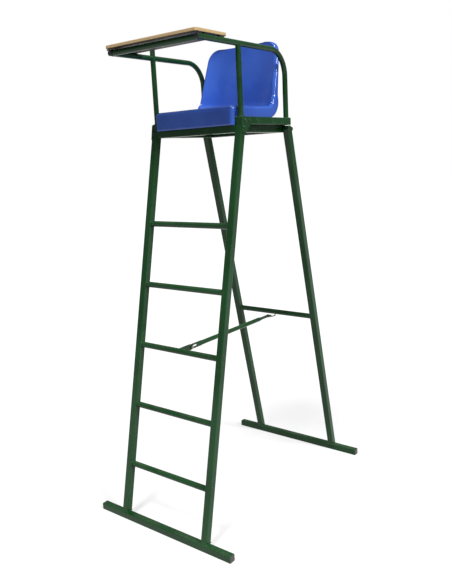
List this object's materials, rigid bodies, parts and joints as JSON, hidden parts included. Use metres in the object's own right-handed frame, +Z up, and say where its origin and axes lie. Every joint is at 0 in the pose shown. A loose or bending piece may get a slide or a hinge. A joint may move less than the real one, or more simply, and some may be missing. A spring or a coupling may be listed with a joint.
{
  "type": "folding umpire chair",
  "caption": "Folding high chair for a court umpire: tube ladder, hinged rear frame held open by a stay, bucket seat, arms and a hinged writing board.",
  "frame": {"origin": "on the floor, midway between the two base bars", "axes": "+X towards the right of someone facing the ladder, +Y from the ladder towards the rear frame, +Z up"},
  "size_m": [0.73, 1.1028, 2.0225],
  "materials": {
    "green_paint": "gloss",
    "blue_plastic": "gloss",
    "board_wood": "satin",
    "zinc_steel": "satin",
    "grey_plastic": "satin",
    "black_plastic": "satin"
  },
  "bodies": {
    "ladder_and_seat": {"arm_end_plugs": "black_plastic", "arm_left": "green_paint", "arm_post_left": "green_paint", "arm_post_right": "green_paint", "arm_right": "green_paint", "board_rest_pads": "black_plastic", "corner_gussets": "green_paint", "cradle_front": "green_paint", "cradle_left": "green_paint", "cradle_rear": "green_paint", "cradle_right": "green_paint", "frame_bolts": "green_paint", "front_base_bar": "green_paint", "front_base_plugs": "grey_plastic", "gusset_bolts": "green_paint", "hinge_arm_leaves": "zinc_steel", "hinge_pins": "zinc_steel", "ladder_stile_left": "green_paint", "ladder_stile_right": "green_paint", "pivot_bolts": "green_paint", "pivot_plugs": "zinc_steel", "pivot_washers": "zinc_steel", "post_stub": "green_paint", "post_stub_cap": "black_plastic", "rung_1": "green_paint", "rung_2": "green_paint", "rung_3": "green_paint", "rung_4": "green_paint", "rung_5": "green_paint", "seat_bolts": "green_paint", "seat_bosses": "black_plastic", "seat_rail_front": "green_paint", "seat_rail_left": "green_paint", "seat_rail_rear": "green_paint", "seat_rail_right": "green_paint", "seat_shell": "blue_plastic", "seat_straps": "green_paint", "stay_bolt": "zinc_steel", "stay_lugs": "green_paint", "stay_wing_nut": "zinc_steel", "tray_cross_bar": "green_paint"},
    "rear_frame": {"rear_leg_left": "green_paint", "rear_leg_right": "green_paint", "rear_base_bar": "green_paint", "rear_base_plugs": "grey_plastic", "rear_cross_bar": "green_paint", "stay_hook": "zinc_steel"},
    "stay": {"stay_tube": "green_paint", "stay_front_tongue": "green_paint", "stay_rear_tongue": "green_paint"},
    "writing_board": {"writing_board": "board_wood", "hinge_board_leaves": "zinc_steel", "board_screws": "zinc_steel"}
  },
  "joints": [
    {"name": "rear_frame_fold", "type": "hinge", "parent": "ladder_and_seat", "child": "rear_frame", "pos_m": [0, 0.173, 1.648], "axis": [-1, 0, 0], "range_deg": [0, 35]},
    {"name": "stay_lift", "type": "hinge", "parent": "ladder_and_seat", "child": "stay", "pos_m": [0, -0.29347, 0.755], "axis": [1, 0, 0], "range_deg": [0, 75]},
    {"name": "board_flip", "type": "hinge", "parent": "ladder_and_seat", "child": "writing_board", "pos_m": [-0.24, -0.334, 1.98], "axis": [0, -1, 0], "range_deg": [0, 180]}
  ],
  "couplings": [
    {"joint": "stay_lift", "follows": "rear_frame_fold", "ratio": 2.1429}
  ]
}
